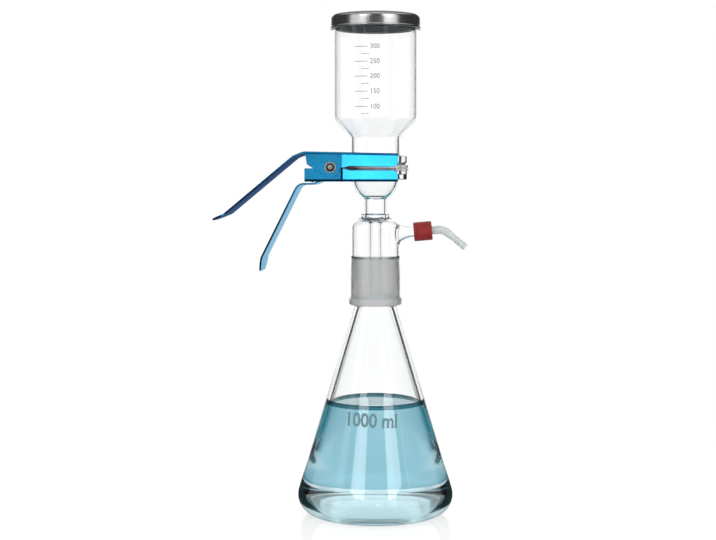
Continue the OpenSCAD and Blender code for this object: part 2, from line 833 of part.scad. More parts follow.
// Ends of the spring's legs, seen from the pivot
upper_leg = let (up = upper_under - pivot_z - wire_d / 2 - leg_gap)
    [-leg_reach * cos(jaw_droop) + up * sin(jaw_droop), leg_reach * sin(jaw_droop) + up * cos(jaw_droop)];
lower_leg = [-leg_reach, lower_top - step_down + wire_d / 2 + leg_gap - pivot_z];

// Turn of the coil between two rings of the wire's mesh, degrees, and the sides of each ring
wire_step = 18;
wire_sides = 10;

// Centreline of the spring: leg, coil, leg. Each point is [x, y, z, angle of its outward side]
function spring_route() =
    let (
        a = atan2(upper_leg.y, upper_leg.x) - acos(coil_r / norm(upper_leg)),
        b = atan2(lower_leg.y, lower_leg.x) + acos(coil_r / norm(lower_leg)),
        sweep = a - b + 360 * coil_turns,
        half = coil_pitch * sweep / 720,
        steps = ceil(sweep / wire_step)
    )
    concat(
        [[upper_leg.x, -half, upper_leg.y, a]],
        [for (i = [0:steps]) let (t = a - sweep * i / steps)
            [coil_r * cos(t), half * (2 * i / steps - 1), coil_r * sin(t), t]],
        [[lower_leg.x, half, lower_leg.y, b]]);

module clamp_spring() {
    route = spring_route();
    rings = len(route);
    color(steel) translate([-pivot_back, 0, pivot_z]) polyhedron(
        points = [for (p = route, k = [0:wire_sides - 1])
            let (out = cos(360 * k / wire_sides) * wire_d / 2)
            [p.x + out * cos(p[3]), p.y + sin(360 * k / wire_sides) * wire_d / 2, p.z + out * sin(p[3])]],
        faces = concat(
            [[for (k = [wire_sides - 1:-1:0]) k]],
            [for (i = [0:rings - 2], k = [0:wire_sides - 1])
                [i * wire_sides + k, i * wire_sides + (k + 1) % wire_sides,
                    (i + 1) * wire_sides + (k + 1) % wire_sides, (i + 1) * wire_sides + k]],
            [[for (k = [0:wire_sides - 1]) (rings - 1) * wire_sides + k]]));
}

// ---- Screw cap, seal and hose connector ----

flute_end = 2.2;

module screw_cap() {
    r = cap_d / 2;
    flute_r = 2 * cap_flute;
    color("firebrick") on_arm() difference() {
        translate([0, 0, cap_end_s - cap_len]) turned(rounded([
            [0, 0, 0], [r, 0, edge_r], [r, cap_len, melt_r], [0, cap_len, 0]]));
        translate([0, 0, cap_inner_s - far]) cylinder(h = far, r = arm_thread_d / 2 + cap_gap);
        cylinder(h = far, r = conn_d / 2 + 2 * cap_gap);
        for (i = [1:cap_flutes])
            rotate([0, 0, 360 * i / cap_flutes])
                translate([r + flute_r - cap_flute, 0, cap_end_s - cap_len + flute_end])
                cylinder(h = cap_len - 2 * flute_end, r = flute_r, $fn = 24);
    }
}

module cap_seal() {
    color("ivory") on_arm() translate([0, 0, arm_end]) difference() {
        cylinder(h = seal_t, r = conn_flange_d / 2);
        translate([0, 0, -over]) cylinder(h = seal_t + 2 * over, r = arm_bore_d / 2);
    }
}

// Round bar of radius r along the connector's axis, from -e to the end of the bend
module conn_path(r, e) {
    bend_s = conn_corner - conn_bend_r * tan(conn_bend / 2);
    translate([0, 0, -e]) cylinder(h = e + bend_s + bend_lap, r = r);
    translate([conn_bend_r, 0, bend_s]) rotate([90, 0, 0]) rotate([0, 0, 180 - conn_bend])
        rotate_extrude(angle = conn_bend) translate([conn_bend_r, 0]) circle(r = r + bend_swell);
    translate([conn_bend_r * (1 - cos(conn_bend)), 0, bend_s + conn_bend_r * sin(conn_bend)])
        rotate([0, conn_bend, 0]) children();
}

module hose_connector() {
    leg = conn_leg - conn_bend_r * tan(conn_bend / 2);
    plain = leg - barbs * barb_len;
    root = barb_root_d / 2;
    color([0.8, 0.88, 0.86]) on_arm() translate([0, 0, flange_s]) difference() {
        union() {
            cylinder(h = conn_flange_t, r = conn_flange_d / 2);
            conn_path(conn_d / 2, 0) turned(concat(
                [[0, -bend_lap], [conn_d / 2, -bend_lap], [root, plain]],
                [for (i = [0:barbs - 1]) each [
                    [barb_d / 2, plain + i * barb_len + barb_step],
                    [root, plain + (i + 1) * barb_len]]],
                [[0, leg]]));
        }
        conn_path(conn_bore_d / 2, over) translate([0, 0, -bend_lap])
            cylinder(h = leg + bend_lap + over, r = conn_bore_d / 2);
    }
}

flask();
filtrate();
filter_head();
frit_disc();
membrane_filter();
cup();
lid();
upper_jaw();
lower_jaw();
pivot_screw();
front_washer();
rear_washer();
pivot_nut();
spring_sleeve();
clamp_spring();
screw_cap();
cap_seal();
hose_connector();
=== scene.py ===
"""The looks of a vacuum filtration unit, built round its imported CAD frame.

Metres, +Z up, the frame's own axes: the side arm points to +X, the clamp's handles to -X,
and the camera stands in front, towards -Y. The outlines below are in millimetres.
"""
import math

import bmesh
import bpy
from mathutils import Matrix, Vector


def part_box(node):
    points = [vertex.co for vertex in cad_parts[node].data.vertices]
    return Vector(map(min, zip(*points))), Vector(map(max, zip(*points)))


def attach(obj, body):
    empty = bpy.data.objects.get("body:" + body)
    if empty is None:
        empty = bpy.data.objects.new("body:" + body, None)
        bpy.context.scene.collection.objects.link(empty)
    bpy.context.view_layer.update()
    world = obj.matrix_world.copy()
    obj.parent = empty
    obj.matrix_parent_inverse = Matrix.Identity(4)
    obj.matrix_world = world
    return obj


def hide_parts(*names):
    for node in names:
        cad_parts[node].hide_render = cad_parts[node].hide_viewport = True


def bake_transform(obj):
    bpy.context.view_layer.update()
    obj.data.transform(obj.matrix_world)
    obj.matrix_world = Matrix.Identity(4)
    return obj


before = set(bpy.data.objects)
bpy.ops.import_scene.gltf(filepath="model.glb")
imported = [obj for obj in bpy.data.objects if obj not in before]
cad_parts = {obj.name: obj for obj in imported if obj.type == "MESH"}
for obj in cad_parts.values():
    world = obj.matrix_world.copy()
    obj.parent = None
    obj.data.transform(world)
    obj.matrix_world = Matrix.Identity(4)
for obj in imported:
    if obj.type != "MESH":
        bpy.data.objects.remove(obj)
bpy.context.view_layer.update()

MM = 0.001


# ---------------------------------------------------------------- sizes, in millimetres
# Heights come from the frame's nodes. Diameters, walls and fillets repeat the part's own values.
def node_mm(name):
    """Low and high corner of a node's box."""
    low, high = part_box(name)
    return low / MM, high / MM


# Roundings of fire-polished edges and of seams in the glass
EDGE_R = 0.4
MELT_R = 1.0

FLASK_D = 134.4
FLASK_WALL = 4.6
HEEL_R = 17.0
FOOT_W = 6.0
FOOT_SLOPE = 8.0
FOOT_BEND_R = 20.0
BASE_BEND_R = 24.0
PUSH_UP = 3.0
NECK_D = 36.4
CONE_TOP = 181.0
NECK_H = 6.0

JOINT_D = 40.0
JOINT_LEN = 35.0
JOINT_TAPER = 10.0
JOINT_GAP = 0.05
JOINT_WALL = 3.0
CHAMFER = 0.6
JOINT_Z = CONE_TOP + NECK_H
JOINT_TOP = JOINT_Z + JOINT_LEN

# The liquid dips into the glass, so that no air shows between them, and creeps up it a little.
LIQUID_TOP = node_mm("filtrate")[1].z
DIP = 0.25
CREEP_W = 2.4
CREEP_H = 1.9

HEAD_D = 42.7
HEAD_WALL = 2.2
SHOULDER_R = 9.0
COLLAR_D = 45.8
COLLAR_H = 7.8
COLLAR_R = 2.2
STEM_D = 20.2
STEM_WALL = 2.6
STEM_H = 16.0
SEAL_D = 25.2
SEAL_H = 4.2
DRIP_D = 11.6
DRIP_WALL = 1.8
DRIP_TIP_H = 3.0
BOWL_D = 41.0
BOWL_WALL = 3.0
BOWL_H = 26.7
FUNNEL_H = 4.0
FLANGE_BLEND = 2.0
FRIT_GAP = 0.05
frit_low, frit_high = node_mm("frit_disc")
FRIT_Z = frit_low.z
FRIT_SEAT = frit_high.x + FRIT_GAP
GROUND_Z = frit_high.z
BOWL_Z = GROUND_Z - BOWL_H
SHOULDER_Z = BOWL_Z - STEM_H
MOUTH_Z = node_mm("filter_head")[0].z

FLANGE_D = 55.4
LIP_D = 57.0
LIP_H = 2.6
HEAD_FLANGE_H = 9.9
CUP_FLANGE_H = 10.5
GROOVE = 4.0
HEAD_UNDER = GROUND_Z - HEAD_FLANGE_H

CUP_D = 73.7
CUP_WALL = 2.4
CUP_NECK_D = 44.0
CUP_NECK_WALL = 2.8
CUP_NECK_H = 26.5
CUP_SHOULDER_H = 15.0
CUP_FOOT_R = 4.0
CUP_SHOULDER_R = 9.0
CUP_RIM_R = CUP_WALL * 0.45
cup_low, cup_high = node_mm("cup")
CUP_Z = cup_low.z
RIM_Z = cup_high.z
CUP_FOOT_Z = CUP_Z + CUP_NECK_H
CUP_SHOULDER_Z = CUP_FOOT_Z + CUP_SHOULDER_H

LID_D = 79.8
LID_SHEET = 1.0
LID_EDGE_R = 4.0
LID_ROLL_R = 1.1
SKIRT_SET = 0.6
LID_SKIRT = LID_D / 2 - SKIRT_SET
lid_low, lid_high = node_mm("lid")

ARM_Z = JOINT_Z + 54.9
ARM_RISE = 5.0
ARM_NECK_D = 9.6
ARM_NECK_S = 31.0
ARM_ROOT_R = 18.0
ARM_ROOT_TURN = 56.0
ARM_BORE_D = 6.0
ARM_THREAD_D = 12.2
ARM_STEP = 1.2
ARM_END = 44.0

screw_low, screw_high = node_mm("pivot_screw")
PIVOT_X = (screw_low.x + screw_high.x) / 2
PIVOT_Z = (screw_low.z + screw_high.z) / 2

# How far a cutter passes the face that it cuts
OVER = 1.0

# Facets: sides of a turned piece and of the side arm, and the longest side of an outline
TURNS = 180
ARM_TURNS = 96
COARSE = 4.0
FINE = 3.0


# ---------------------------------------------------------------- outlines
def arc(c, r, a, b, step=6.0):
    """Points of an arc about c from angle a to angle b, in degrees."""
    n = max(3, int(math.ceil(abs(b - a) / step)))
    angles = [math.radians(a + (b - a) * i / n) for i in range(n + 1)]
    return [(c[0] + r * math.cos(t), c[1] + r * math.sin(t)) for t in angles]


def rounded(points, step=9.0):
    """Closed outline whose points are (x, y, corner radius)."""
    out = []
    n = len(points)
    for i, (x, y, r) in enumerate(points):
        q = Vector((x, y))
        if r <= 0:
            out.append((x, y))
            continue
        u = (Vector(points[i - 1][:2]) - q).normalized()
        v = (Vector(points[(i + 1) % n][:2]) - q).normalized()
        half = math.acos(max(-1.0, min(1.0, u.dot(v)))) / 2
        c = q + (u + v).normalized() * r / math.sin(half)
        a = math.degrees(math.atan2(*reversed(q + u * r / math.tan(half) - c)))
        b = math.degrees(math.atan2(*reversed(q + v * r / math.tan(half) - c)))
        turn = (b - a + 540) % 360 - 180
        out += arc(c, r, a, a + turn, step)
    return out


def joint_r(z):
    """Radius of the ground joint at a height."""
    return JOINT_D / 2 - (z - JOINT_Z) / JOINT_TAPER / 2


def densified(points, longest):
    """The same closed outline with no side longer than the given length."""
    out = []
    for i, p in enumerate(points):
        q = points[(i + 1) % len(points)]
        if p[0] <= 1e-9 and q[0] <= 1e-9:
            out.append(p)
            continue
        n = max(1, int(math.ceil(math.dist(p, q) / longest)))
        out += [(p[0] + (q[0] - p[0]) * k / n, p[1] + (q[1] - p[1]) * k / n) for k in range(n)]
    return out


# ---------------------------------------------------------------- meshes
def link_object(name, data):
    piece = bpy.data.objects.new(name, data)
    bpy.context.scene.collection.objects.link(piece)
    return piece


def new_object(name, verts, faces):
    mesh = bpy.data.meshes.new(name)
    mesh.from_pydata([Vector(v) * MM for v in verts], [], faces)
    mesh.validate()
    return link_object(name, mesh)


def outward(piece):
    """Turns every face to look out of the solid."""
    bm = bmesh.new()
    bm.from_mesh(piece.data)
    bmesh.ops.recalc_face_normals(bm, faces=bm.faces)
    bm.to_mesh(piece.data)
    bm.free()


def smooth(piece, angle):
    """Smooth shading, but for edges sharper than an angle in degrees."""
    for p in piece.data.polygons:
        p.use_smooth = True
    piece.data.set_sharp_from_angle(angle=math.radians(angle))


def lathe(name, outline, turns=TURNS):
    """Closed outline of (radius, height) points turned about the Z axis."""
    verts, rings = [], []
    for r, z in outline:
        if r < 1e-6:
            rings.append([len(verts)])
            verts.append((0.0, 0.0, z))
            continue
        rings.append(list(range(len(verts), len(verts) + turns)))
        for k in range(turns):
            t = 2 * math.pi * k / turns
            verts.append((r * math.cos(t), r * math.sin(t), z))
    faces = []
    for i, a in enumerate(rings):
        b = rings[(i + 1) % len(rings)]
        if len(a) == 1 and len(b) == 1:
            continue
        for k in range(turns):
            j = (k + 1) % turns
            if len(a) == 1:
                faces.append((a[0], b[j], b[k]))
            elif len(b) == 1:
                faces.append((a[k], a[j], b[0]))
            else:
                faces.append((a[k], a[j], b[j], b[k]))
    piece = new_object(name, verts, faces)
    outward(piece)
    return piece


def boolean(piece, tool, operation):
    """Adds the tool to the piece or cuts it out, and removes the tool."""
    modifier = piece.modifiers.new(operation, "BOOLEAN")
    modifier.operation = operation
    modifier.solver = "EXACT"
    modifier.object = tool
    bpy.context.view_layer.objects.active = piece
    with bpy.context.temp_override(object=piece, active_object=piece):
        bpy.ops.object.modifier_apply(modifier=modifier.name)
    bpy.data.objects.remove(tool)


def place_on_arm(piece):
    """Turns a piece made along Z so that Z runs along the side arm, from the head's axis."""
    turn = Matrix.Rotation(math.radians(90 - ARM_RISE), 4, "Y")
    piece.data.transform(Matrix.Translation((0, 0, ARM_Z * MM)) @ turn)
    return piece


# ---------------------------------------------------------------- flask and liquid
heel_c = (FLASK_D / 2 - HEEL_R, HEEL_R)
neck_p = (NECK_D / 2, CONE_TOP)
heel_turn = math.degrees(
    math.atan2(neck_p[1] - heel_c[1], neck_p[0] - heel_c[0])
    - math.acos(HEEL_R / math.dist(neck_p, heel_c))
)
foot_in = heel_c[0] - FOOT_W


def flask_side(d):
    """Heel and cone of the flask at a depth d below its outer surface."""
    return arc(heel_c, HEEL_R - d, -90, heel_turn, 5.0) + [
        (neck_p[0] - d / math.cos(math.radians(heel_turn)), neck_p[1])
    ]


def make_flask():
    chamfer_z = JOINT_TOP - CHAMFER
    mouth_r = joint_r(JOINT_TOP) - JOINT_WALL
    slope_r = foot_in - FOOT_SLOPE
    inside_z = PUSH_UP + FLASK_WALL
    base = rounded([(slope_r, PUSH_UP, FOOT_BEND_R), (foot_in, 0, 0), (0, PUSH_UP, 0)])[:-1]
    inner_base = rounded(
        [(heel_c[0], FLASK_WALL, 0), (slope_r, inside_z, BASE_BEND_R), (0, inside_z, 0)])[1:]
    outline = (
        [(0, PUSH_UP)] + base + flask_side(0)
        + [(joint_r(JOINT_Z) - CHAMFER, JOINT_Z - CHAMFER), (joint_r(JOINT_Z), JOINT_Z)]
        + [(joint_r(chamfer_z), chamfer_z), (joint_r(JOINT_TOP) - CHAMFER, JOINT_TOP)]
        + [(mouth_r + CHAMFER, JOINT_TOP), (mouth_r, chamfer_z)]
        + [(neck_p[0] - FLASK_WALL, JOINT_Z + NECK_H)]
        + flask_side(FLASK_WALL)[::-1]
        + inner_base
    )
    piece = lathe("flask_glass", densified(outline, COARSE))
    smooth(piece, 30)
    return piece


def liquid_side():
    """Wall of the liquid, from its bottom to its surface."""
    side = flask_side(FLASK_WALL - DIP)
    (low_r, low_z), (high_r, high_z) = side[-2:]
    slope = (high_r - low_r) / (high_z - low_z)
    return side[:-1] + [(low_r + (LIQUID_TOP - low_z) * slope, LIQUID_TOP)]


def make_liquid():
    side = liquid_side()
    bottom_z = PUSH_UP + FLASK_WALL - DIP
    wall_r = side[-1][0]
    creep = [(wall_r - DIP - CREEP_W * (1 - math.cos(t)), LIQUID_TOP - CREEP_H * math.sin(t))
             for t in [math.radians(a) for a in range(0, 91, 10)]]
    outline = (
        [(0, bottom_z), (foot_in - FOOT_SLOPE, bottom_z)] + side
        + creep + [(0, LIQUID_TOP - CREEP_H)]
    )
    piece = lathe("filtrate_liquid", densified(outline, COARSE))
    smooth(piece, 30)
    return piece


# ---------------------------------------------------------------- filter head
bowl_r = BOWL_D / 2
bowl_c = (0.0, BOWL_Z + math.sqrt(bowl_r**2 - (STEM_D / 2) ** 2))
bowl_in = bowl_r - BOWL_WALL
stem_in = STEM_D / 2 - STEM_WALL
drip_in = DRIP_D / 2 - DRIP_WALL

# Where the side arm runs into the head, along X and about the arm's axis
ROOT_X = (16.0, 26.0)
ROOT_R = 15.0


def trumpet(r, root_r):
    """Outline of the arm's root, which widens from radius r, without its start on the axis."""
    return (
        arc((r + root_r, ARM_NECK_S), root_r, 180, 180 + ARM_ROOT_TURN, 3.0)
        + [(0, ARM_NECK_S - root_r * math.sin(math.radians(ARM_ROOT_TURN)))]
    )


def melt_arm_root(piece):
    """The arm is blown out of the head, so light runs over its root with no crease."""
    mesh = piece.data
    sharp = mesh.attributes["sharp_edge"].data
    for edge in mesh.edges:
        mid = (mesh.vertices[edge.vertices[0]].co + mesh.vertices[edge.vertices[1]].co) / 2 / MM
        if ROOT_X[0] < mid.x < ROOT_X[1] and math.hypot(mid.y, mid.z - ARM_Z) < ROOT_R:
            sharp[edge.index].value = False


def head_outside():
    """The head's body with its bowl and flange, filled in."""
    def bowl_angle(z):
        return math.degrees(math.asin((z - bowl_c[1]) / bowl_r))

    r = HEAD_D / 2
    body = rounded([
        (0, MOUTH_Z, 0),
        (COLLAR_D / 2, MOUTH_Z, COLLAR_R),
        (COLLAR_D / 2, MOUTH_Z + COLLAR_H - COLLAR_R, COLLAR_R),
        (r, MOUTH_Z + COLLAR_H, MELT_R),
        (r, SHOULDER_Z, SHOULDER_R),
        (SEAL_D / 2 - EDGE_R, SHOULDER_Z, 0),
        (SEAL_D / 2, SHOULDER_Z + MELT_R, EDGE_R),
        (SEAL_D / 2, SHOULDER_Z + SEAL_H - 1.5 * MELT_R, MELT_R),
        (STEM_D / 2, SHOULDER_Z + SEAL_H, MELT_R)])
    bowl = arc(bowl_c, bowl_r, bowl_angle(BOWL_Z), bowl_angle(HEAD_UNDER), 4.0)
    flange = rounded([
        (bowl_r - FLANGE_BLEND, HEAD_UNDER, 0),
        (FLANGE_D / 2, HEAD_UNDER, MELT_R),
        (FLANGE_D / 2, GROUND_Z - LIP_H, 0),
        (LIP_D / 2, GROUND_Z - LIP_H, EDGE_R),
        (LIP_D / 2, GROUND_Z, EDGE_R),
        (0, GROUND_Z, 0)])[1:]
    return body + bowl + flange


def arm_outside():
    step_s = ARM_NECK_S + ARM_STEP
    return trumpet(ARM_NECK_D / 2, ARM_ROOT_R) + [
        (0, ARM_END), (ARM_THREAD_D / 2, ARM_END), (ARM_THREAD_D / 2, step_s), (ARM_NECK_D / 2, step_s)]


def chamber():
    """The vacuum chamber round the drip tube, and the ground socket below it."""
    r = HEAD_D / 2 - HEAD_WALL
    roof = SHOULDER_Z - HEAD_WALL
    tip = JOINT_Z + DRIP_TIP_H
    lead_in = JOINT_D / 2 + CHAMFER
    return rounded([
        (0, MOUTH_Z - OVER, 0),
        (lead_in, MOUTH_Z - OVER, 0),
        (lead_in, MOUTH_Z, 0),
        (joint_r(JOINT_Z) + JOINT_GAP, JOINT_Z, 0),
        (joint_r(JOINT_TOP) + JOINT_GAP, JOINT_TOP, 0),
        (r, JOINT_TOP + 2 * MELT_R, MELT_R),
        (r, roof, SHOULDER_R - HEAD_WALL),
        (DRIP_D / 2, roof, MELT_R),
        (DRIP_D / 2, tip, 0),
        (0, tip, 0)])


def bore():
    """The way of the liquid, from the frit's seat through the bowl, the stem and the drip tube."""
    low = -math.degrees(math.acos(stem_in / bowl_in))
    high = math.degrees(math.asin((FRIT_Z - bowl_c[1]) / bowl_in))
    return (
        [(0, JOINT_Z), (drip_in, JOINT_Z), (drip_in, SHOULDER_Z - FUNNEL_H), (stem_in, SHOULDER_Z)]
        + arc(bowl_c, bowl_in, low, high, 4.0)
        + [(FRIT_SEAT, FRIT_Z), (FRIT_SEAT, GROUND_Z + OVER), (0, GROUND_Z + OVER)]
    )


def arm_bore():
    r = ARM_BORE_D / 2
    end = ARM_END + OVER
    return trumpet(r, ARM_ROOT_R + ARM_NECK_D / 2 - r) + [(0, end), (r, end)]


def make_head():
    piece = lathe("head_glass", densified(head_outside(), COARSE))
    arm = lathe("arm", densified(arm_outside(), FINE), ARM_TURNS)
    boolean(piece, place_on_arm(arm), "UNION")
    boolean(piece, lathe("chamber", densified(chamber(), COARSE)), "DIFFERENCE")
    boolean(piece, lathe("bore", densified(bore(), COARSE)), "DIFFERENCE")
    arm_cutter = lathe("arm_bore", densified(arm_bore(), FINE), ARM_TURNS)
    boolean(piece, place_on_arm(arm_cutter), "DIFFERENCE")
    smooth(piece, 25)
    melt_arm_root(piece)
    return piece


# ---------------------------------------------------------------- cup and lid
def make_cup():
    neck_in = CUP_NECK_D / 2 - CUP_NECK_WALL
    barrel_in = CUP_D / 2 - CUP_WALL
    lift = math.tan(math.atan2((CUP_D - CUP_NECK_D) / 2, CUP_SHOULDER_Z - CUP_FOOT_Z) / 2)
    top = CUP_Z + CUP_FLANGE_H
    outline = rounded([
        (neck_in, CUP_Z, 0),
        (LIP_D / 2, CUP_Z, EDGE_R),
        (LIP_D / 2, CUP_Z + LIP_H, EDGE_R),
        (FLANGE_D / 2 - GROOVE, CUP_Z + LIP_H, 0),
        (FLANGE_D / 2, CUP_Z + LIP_H, GROOVE - EDGE_R),
        (FLANGE_D / 2, top, MELT_R),
        (CUP_NECK_D / 2, top, MELT_R),
        (CUP_NECK_D / 2, CUP_FOOT_Z, CUP_FOOT_R),
        (CUP_D / 2, CUP_SHOULDER_Z, CUP_SHOULDER_R),
        (CUP_D / 2, RIM_Z, CUP_RIM_R),
        (barrel_in, RIM_Z, CUP_RIM_R),
        (barrel_in, CUP_SHOULDER_Z + CUP_WALL * lift, CUP_SHOULDER_R - CUP_WALL),
        (neck_in, CUP_FOOT_Z + CUP_NECK_WALL * lift, CUP_FOOT_R + CUP_NECK_WALL)])
    piece = lathe("cup_glass", densified(outline, COARSE))
    smooth(piece, 30)
    return piece


def make_lid():
    """Pressed steel disc with a rolled rim."""
    top, bottom = lid_high.z, lid_low.z
    corner = (LID_SKIRT - LID_EDGE_R, top - LID_EDGE_R)
    roll_c = (LID_D / 2 - LID_ROLL_R, bottom + LID_ROLL_R)
    out_meet, in_meet = [math.degrees(math.acos((r - roll_c[0]) / LID_ROLL_R))
                         for r in (LID_SKIRT, LID_SKIRT - LID_SHEET)]
    outline = (
        [(0, top)] + arc(corner, LID_EDGE_R, 90, 0)
        + arc(roll_c, LID_ROLL_R, out_meet, in_meet - 360, 12.0)
        + arc(corner, LID_EDGE_R - LID_SHEET, 0, 90) + [(0, top - LID_SHEET)]
    )
    piece = lathe("lid_steel", densified(outline, FINE))
    smooth(piece, 40)
    return piece


# ---------------------------------------------------------------- printed marks
# Thickness of the print
INK = 0.03
# The cup's scale: height and number of each long line, both ends and width of the lines,
# how far the short lines are below the long ones, and where the numbers start
SCALE_MARKS = [(401.8, "300"), (389.3, "250"), (376.9, "200"), (364.2, "150"), (351.4, "100")]
LONG_LINE = (-17.8, -5.9, 0.55)
SHORT_LINE = (-11.1, -4.6, 0.5)
SHORT_LINE_DOWN = 6.1
NUMBER_X = -3.9
NUMBER_SIZE = 5.9
# The flask's volume mark
VOLUME_X = -2.6
VOLUME_Z = 87.3
VOLUME_SIZE = 15.6
VOLUME_TILT = -2.0


def print_on(piece, radius_at, lift=0.04):
    """Bends a flat piece, x across and y up, round the front of a turned surface."""
    for v in piece.data.vertices:
        x, z, out = v.co.x / MM, v.co.y / MM, v.co.z / MM
        r = radius_at(z)
        t = x / r
        r += lift + out
        v.co = Vector((r * math.sin(t), -r * math.cos(t), z)) * MM
    return piece


def bar(x0, x1, thick, y, parts=12):
    """Flat printed line with enough parts to bend round the glass."""
    low, high = y - thick / 2, y + thick / 2
    verts, faces = [], []
    for i in range(parts + 1):
        x = x0 + (x1 - x0) * i / parts
        verts += [(x, low, 0), (x, high, 0), (x, high, INK), (x, low, INK)]
    for i in range(parts):
        a, b = 4 * i, 4 * (i + 1)
        faces += [(a + k, a + (k + 1) % 4, b + (k + 1) % 4, b + k) for k in range(4)]
    faces += [(3, 2, 1, 0), tuple(4 * parts + k for k in range(4))]
    piece = new_object("line", verts, faces)
    outward(piece)
    return piece


def words(name, text, x, y, size, bolder, squeeze, align="LEFT", tilt=0.0):
    """Flat printed letters, centred on height y."""
    curve = bpy.data.curves.new(name, "FONT")
    curve.body = text
    curve.size = size
    curve.align_x = align
    curve.align_y = "CENTER"
    curve.offset = bolder
    curve.resolution_u = 4
    curve.extrude = INK / 2
    holder = link_object(name, curve)
    bpy.context.view_layer.update()
    mesh = bpy.data.meshes.new_from_object(holder)
    bpy.data.objects.remove(holder)
    turn = Matrix.Rotation(math.radians(tilt), 4, "Z")
    mesh.transform(Matrix.Translation((x, y, INK / 2)) @ turn @ Matrix.Diagonal((squeeze, 1, 1, 1)))
    mesh.transform(Matrix.Scale(MM, 4))
    return link_object(name, mesh)


def join(name, pieces):
    bm = bmesh.new()
    for p in pieces:
        bm.from_mesh(p.data)
    mesh = bpy.data.meshes.new(name)
    bm.to_mesh(mesh)
    bm.free()
    for p in pieces:
        bpy.data.objects.remove(p)
    return link_object(name, mesh)


def make_scale():
    def cup_r(z):
        return CUP_D / 2

    marks = []
    for z, number in SCALE_MARKS:
        marks += [
            bar(*LONG_LINE, z),
            bar(*SHORT_LINE, z - SHORT_LINE_DOWN),
            words("label", number, NUMBER_X, z, NUMBER_SIZE, bolder=0.06, squeeze=0.95),
        ]
    return join("cup_scale", [print_on(mark, cup_r) for mark in marks])


def make_volume_mark():
    def cone_r(z):
        return NECK_D / 2 + (CONE_TOP - z) * math.tan(math.radians(heel_turn))

    text = words("volume", "1000 ml", VOLUME_X, VOLUME_Z, VOLUME_SIZE, bolder=0.36, squeeze=0.90,
                 align="CENTER", tilt=VOLUME_TILT)
    return print_on(text, cone_r, lift=0.06)


# ---------------------------------------------------------------- node trees
# Values between which a noise changes from one colour to the other
NOISE_SPAN = (0.3, 0.7)


class Tree:
    """Shorthand for the nodes of a material or the world."""

    def __init__(self, tree):
        self.nodes, self.links = tree.nodes, tree.links

    def feed(self, socket, source):
        """Links an output to the socket, or writes a plain value on it."""
        if isinstance(source, bpy.types.NodeSocket):
            self.links.new(source, socket)
        else:
            socket.default_value = source

    def add(self, kind, inputs=None, **settings):
        """New node with its settings, and with its inputs fed by name or number."""
        node = self.nodes.new("ShaderNode" + kind)
        for key, value in settings.items():
            setattr(node, key, value)
        for key, source in (inputs or {}).items():
            self.feed(node.inputs[key], source)
        return node

    def maths(self, operation, *sources):
        return self.add("Math", dict(enumerate(sources)), operation=operation).outputs["Value"]

    def place(self, coordinates):
        """X, Y and Z of the point, or of the direction, that is shaded."""
        source = self.add("TexCoord").outputs[coordinates]
        return self.add("SeparateXYZ", {"Vector": source}).outputs

    def distance(self, x, y):
        squares = [self.maths("POWER", side, 2.0) for side in (x, y)]
        return self.maths("SQRT", self.maths("ADD", *squares))

    def fade(self, value, start, end, low, high):
        """Runs smoothly from low at start to high at end."""
        return self.add("MapRange", {
            "From Min": start, "From Max": end, "To Min": low, "To Max": high, "Value": value,
        }, interpolation_type="SMOOTHSTEP").outputs["Result"]

    def spread(self, value, low, high, start=0.0, end=1.0):
        """Runs evenly from low at start to high at end."""
        return self.add("MapRange", {
            "From Min": start, "From Max": end, "To Min": low, "To Max": high, "Value": value,
        }).outputs["Result"]

    def pick(self, factor, a, b):
        """Number b where the factor is 1, else a."""
        return self.add("Mix", {0: factor, 2: a, 3: b}, data_type="FLOAT").outputs[0]

    def blend(self, factor, a, b):
        """As pick, for colours."""
        return self.add("Mix", {0: factor, 6: a, 7: b}, data_type="RGBA").outputs[2]

    def ramp(self, value, stops):
        """Colour of a value between stops of (position, colour)."""
        node = self.add("ValToRGB", {"Fac": value})
        elements = node.color_ramp.elements
        while len(elements) < len(stops):
            elements.new(0.5)
        for element, (position, color) in zip(elements, stops):
            element.position = position
            element.color = (*color, 1)
        return node.outputs["Color"]

    def two_tone(self, noise, colors):
        return self.ramp(noise, list(zip(NOISE_SPAN, colors)))

    def noise(self, scale, detail, rough, stretch=None):
        source = self.add("TexCoord").outputs["Object"]
        if stretch:
            source = self.add("Mapping", {"Scale": stretch, "Vector": source}).outputs["Vector"]
        return self.add("TexNoise", {
            "Scale": scale, "Detail": detail, "Roughness": rough, "Vector": source}).outputs["Fac"]

    def bump(self, shader, height, strength, distance, bevel=None):
        """Relief, over edges rounded by the bevel's radius as blanked sheet and cast edges are."""
        inputs = {"Strength": strength, "Distance": distance, "Height": height}
        if bevel:
            inputs["Normal"] = self.add("Bevel", {"Radius": bevel}, samples=6).outputs["Normal"]
        self.feed(shader.inputs["Normal"], self.add("Bump", inputs).outputs["Normal"])


# ---------------------------------------------------------------- materials
METAL = {"Metallic": 1.0}
GLASS_IOR = 1.473
WATER_IOR = 1.333
GROUND_GLASS = {"IOR": GLASS_IOR, "Transmission Weight": 0.82}


def new_material(name, constants):
    """A material's tree and shader, with numbers and colours set on the shader's own sockets."""
    material = bpy.data.materials.new(name)
    material.use_nodes = True
    shader = material.node_tree.nodes["Principled BSDF"]
    for socket, value in constants.items():
        shader.inputs[socket].default_value = value
    return material, Tree(material.node_tree), shader


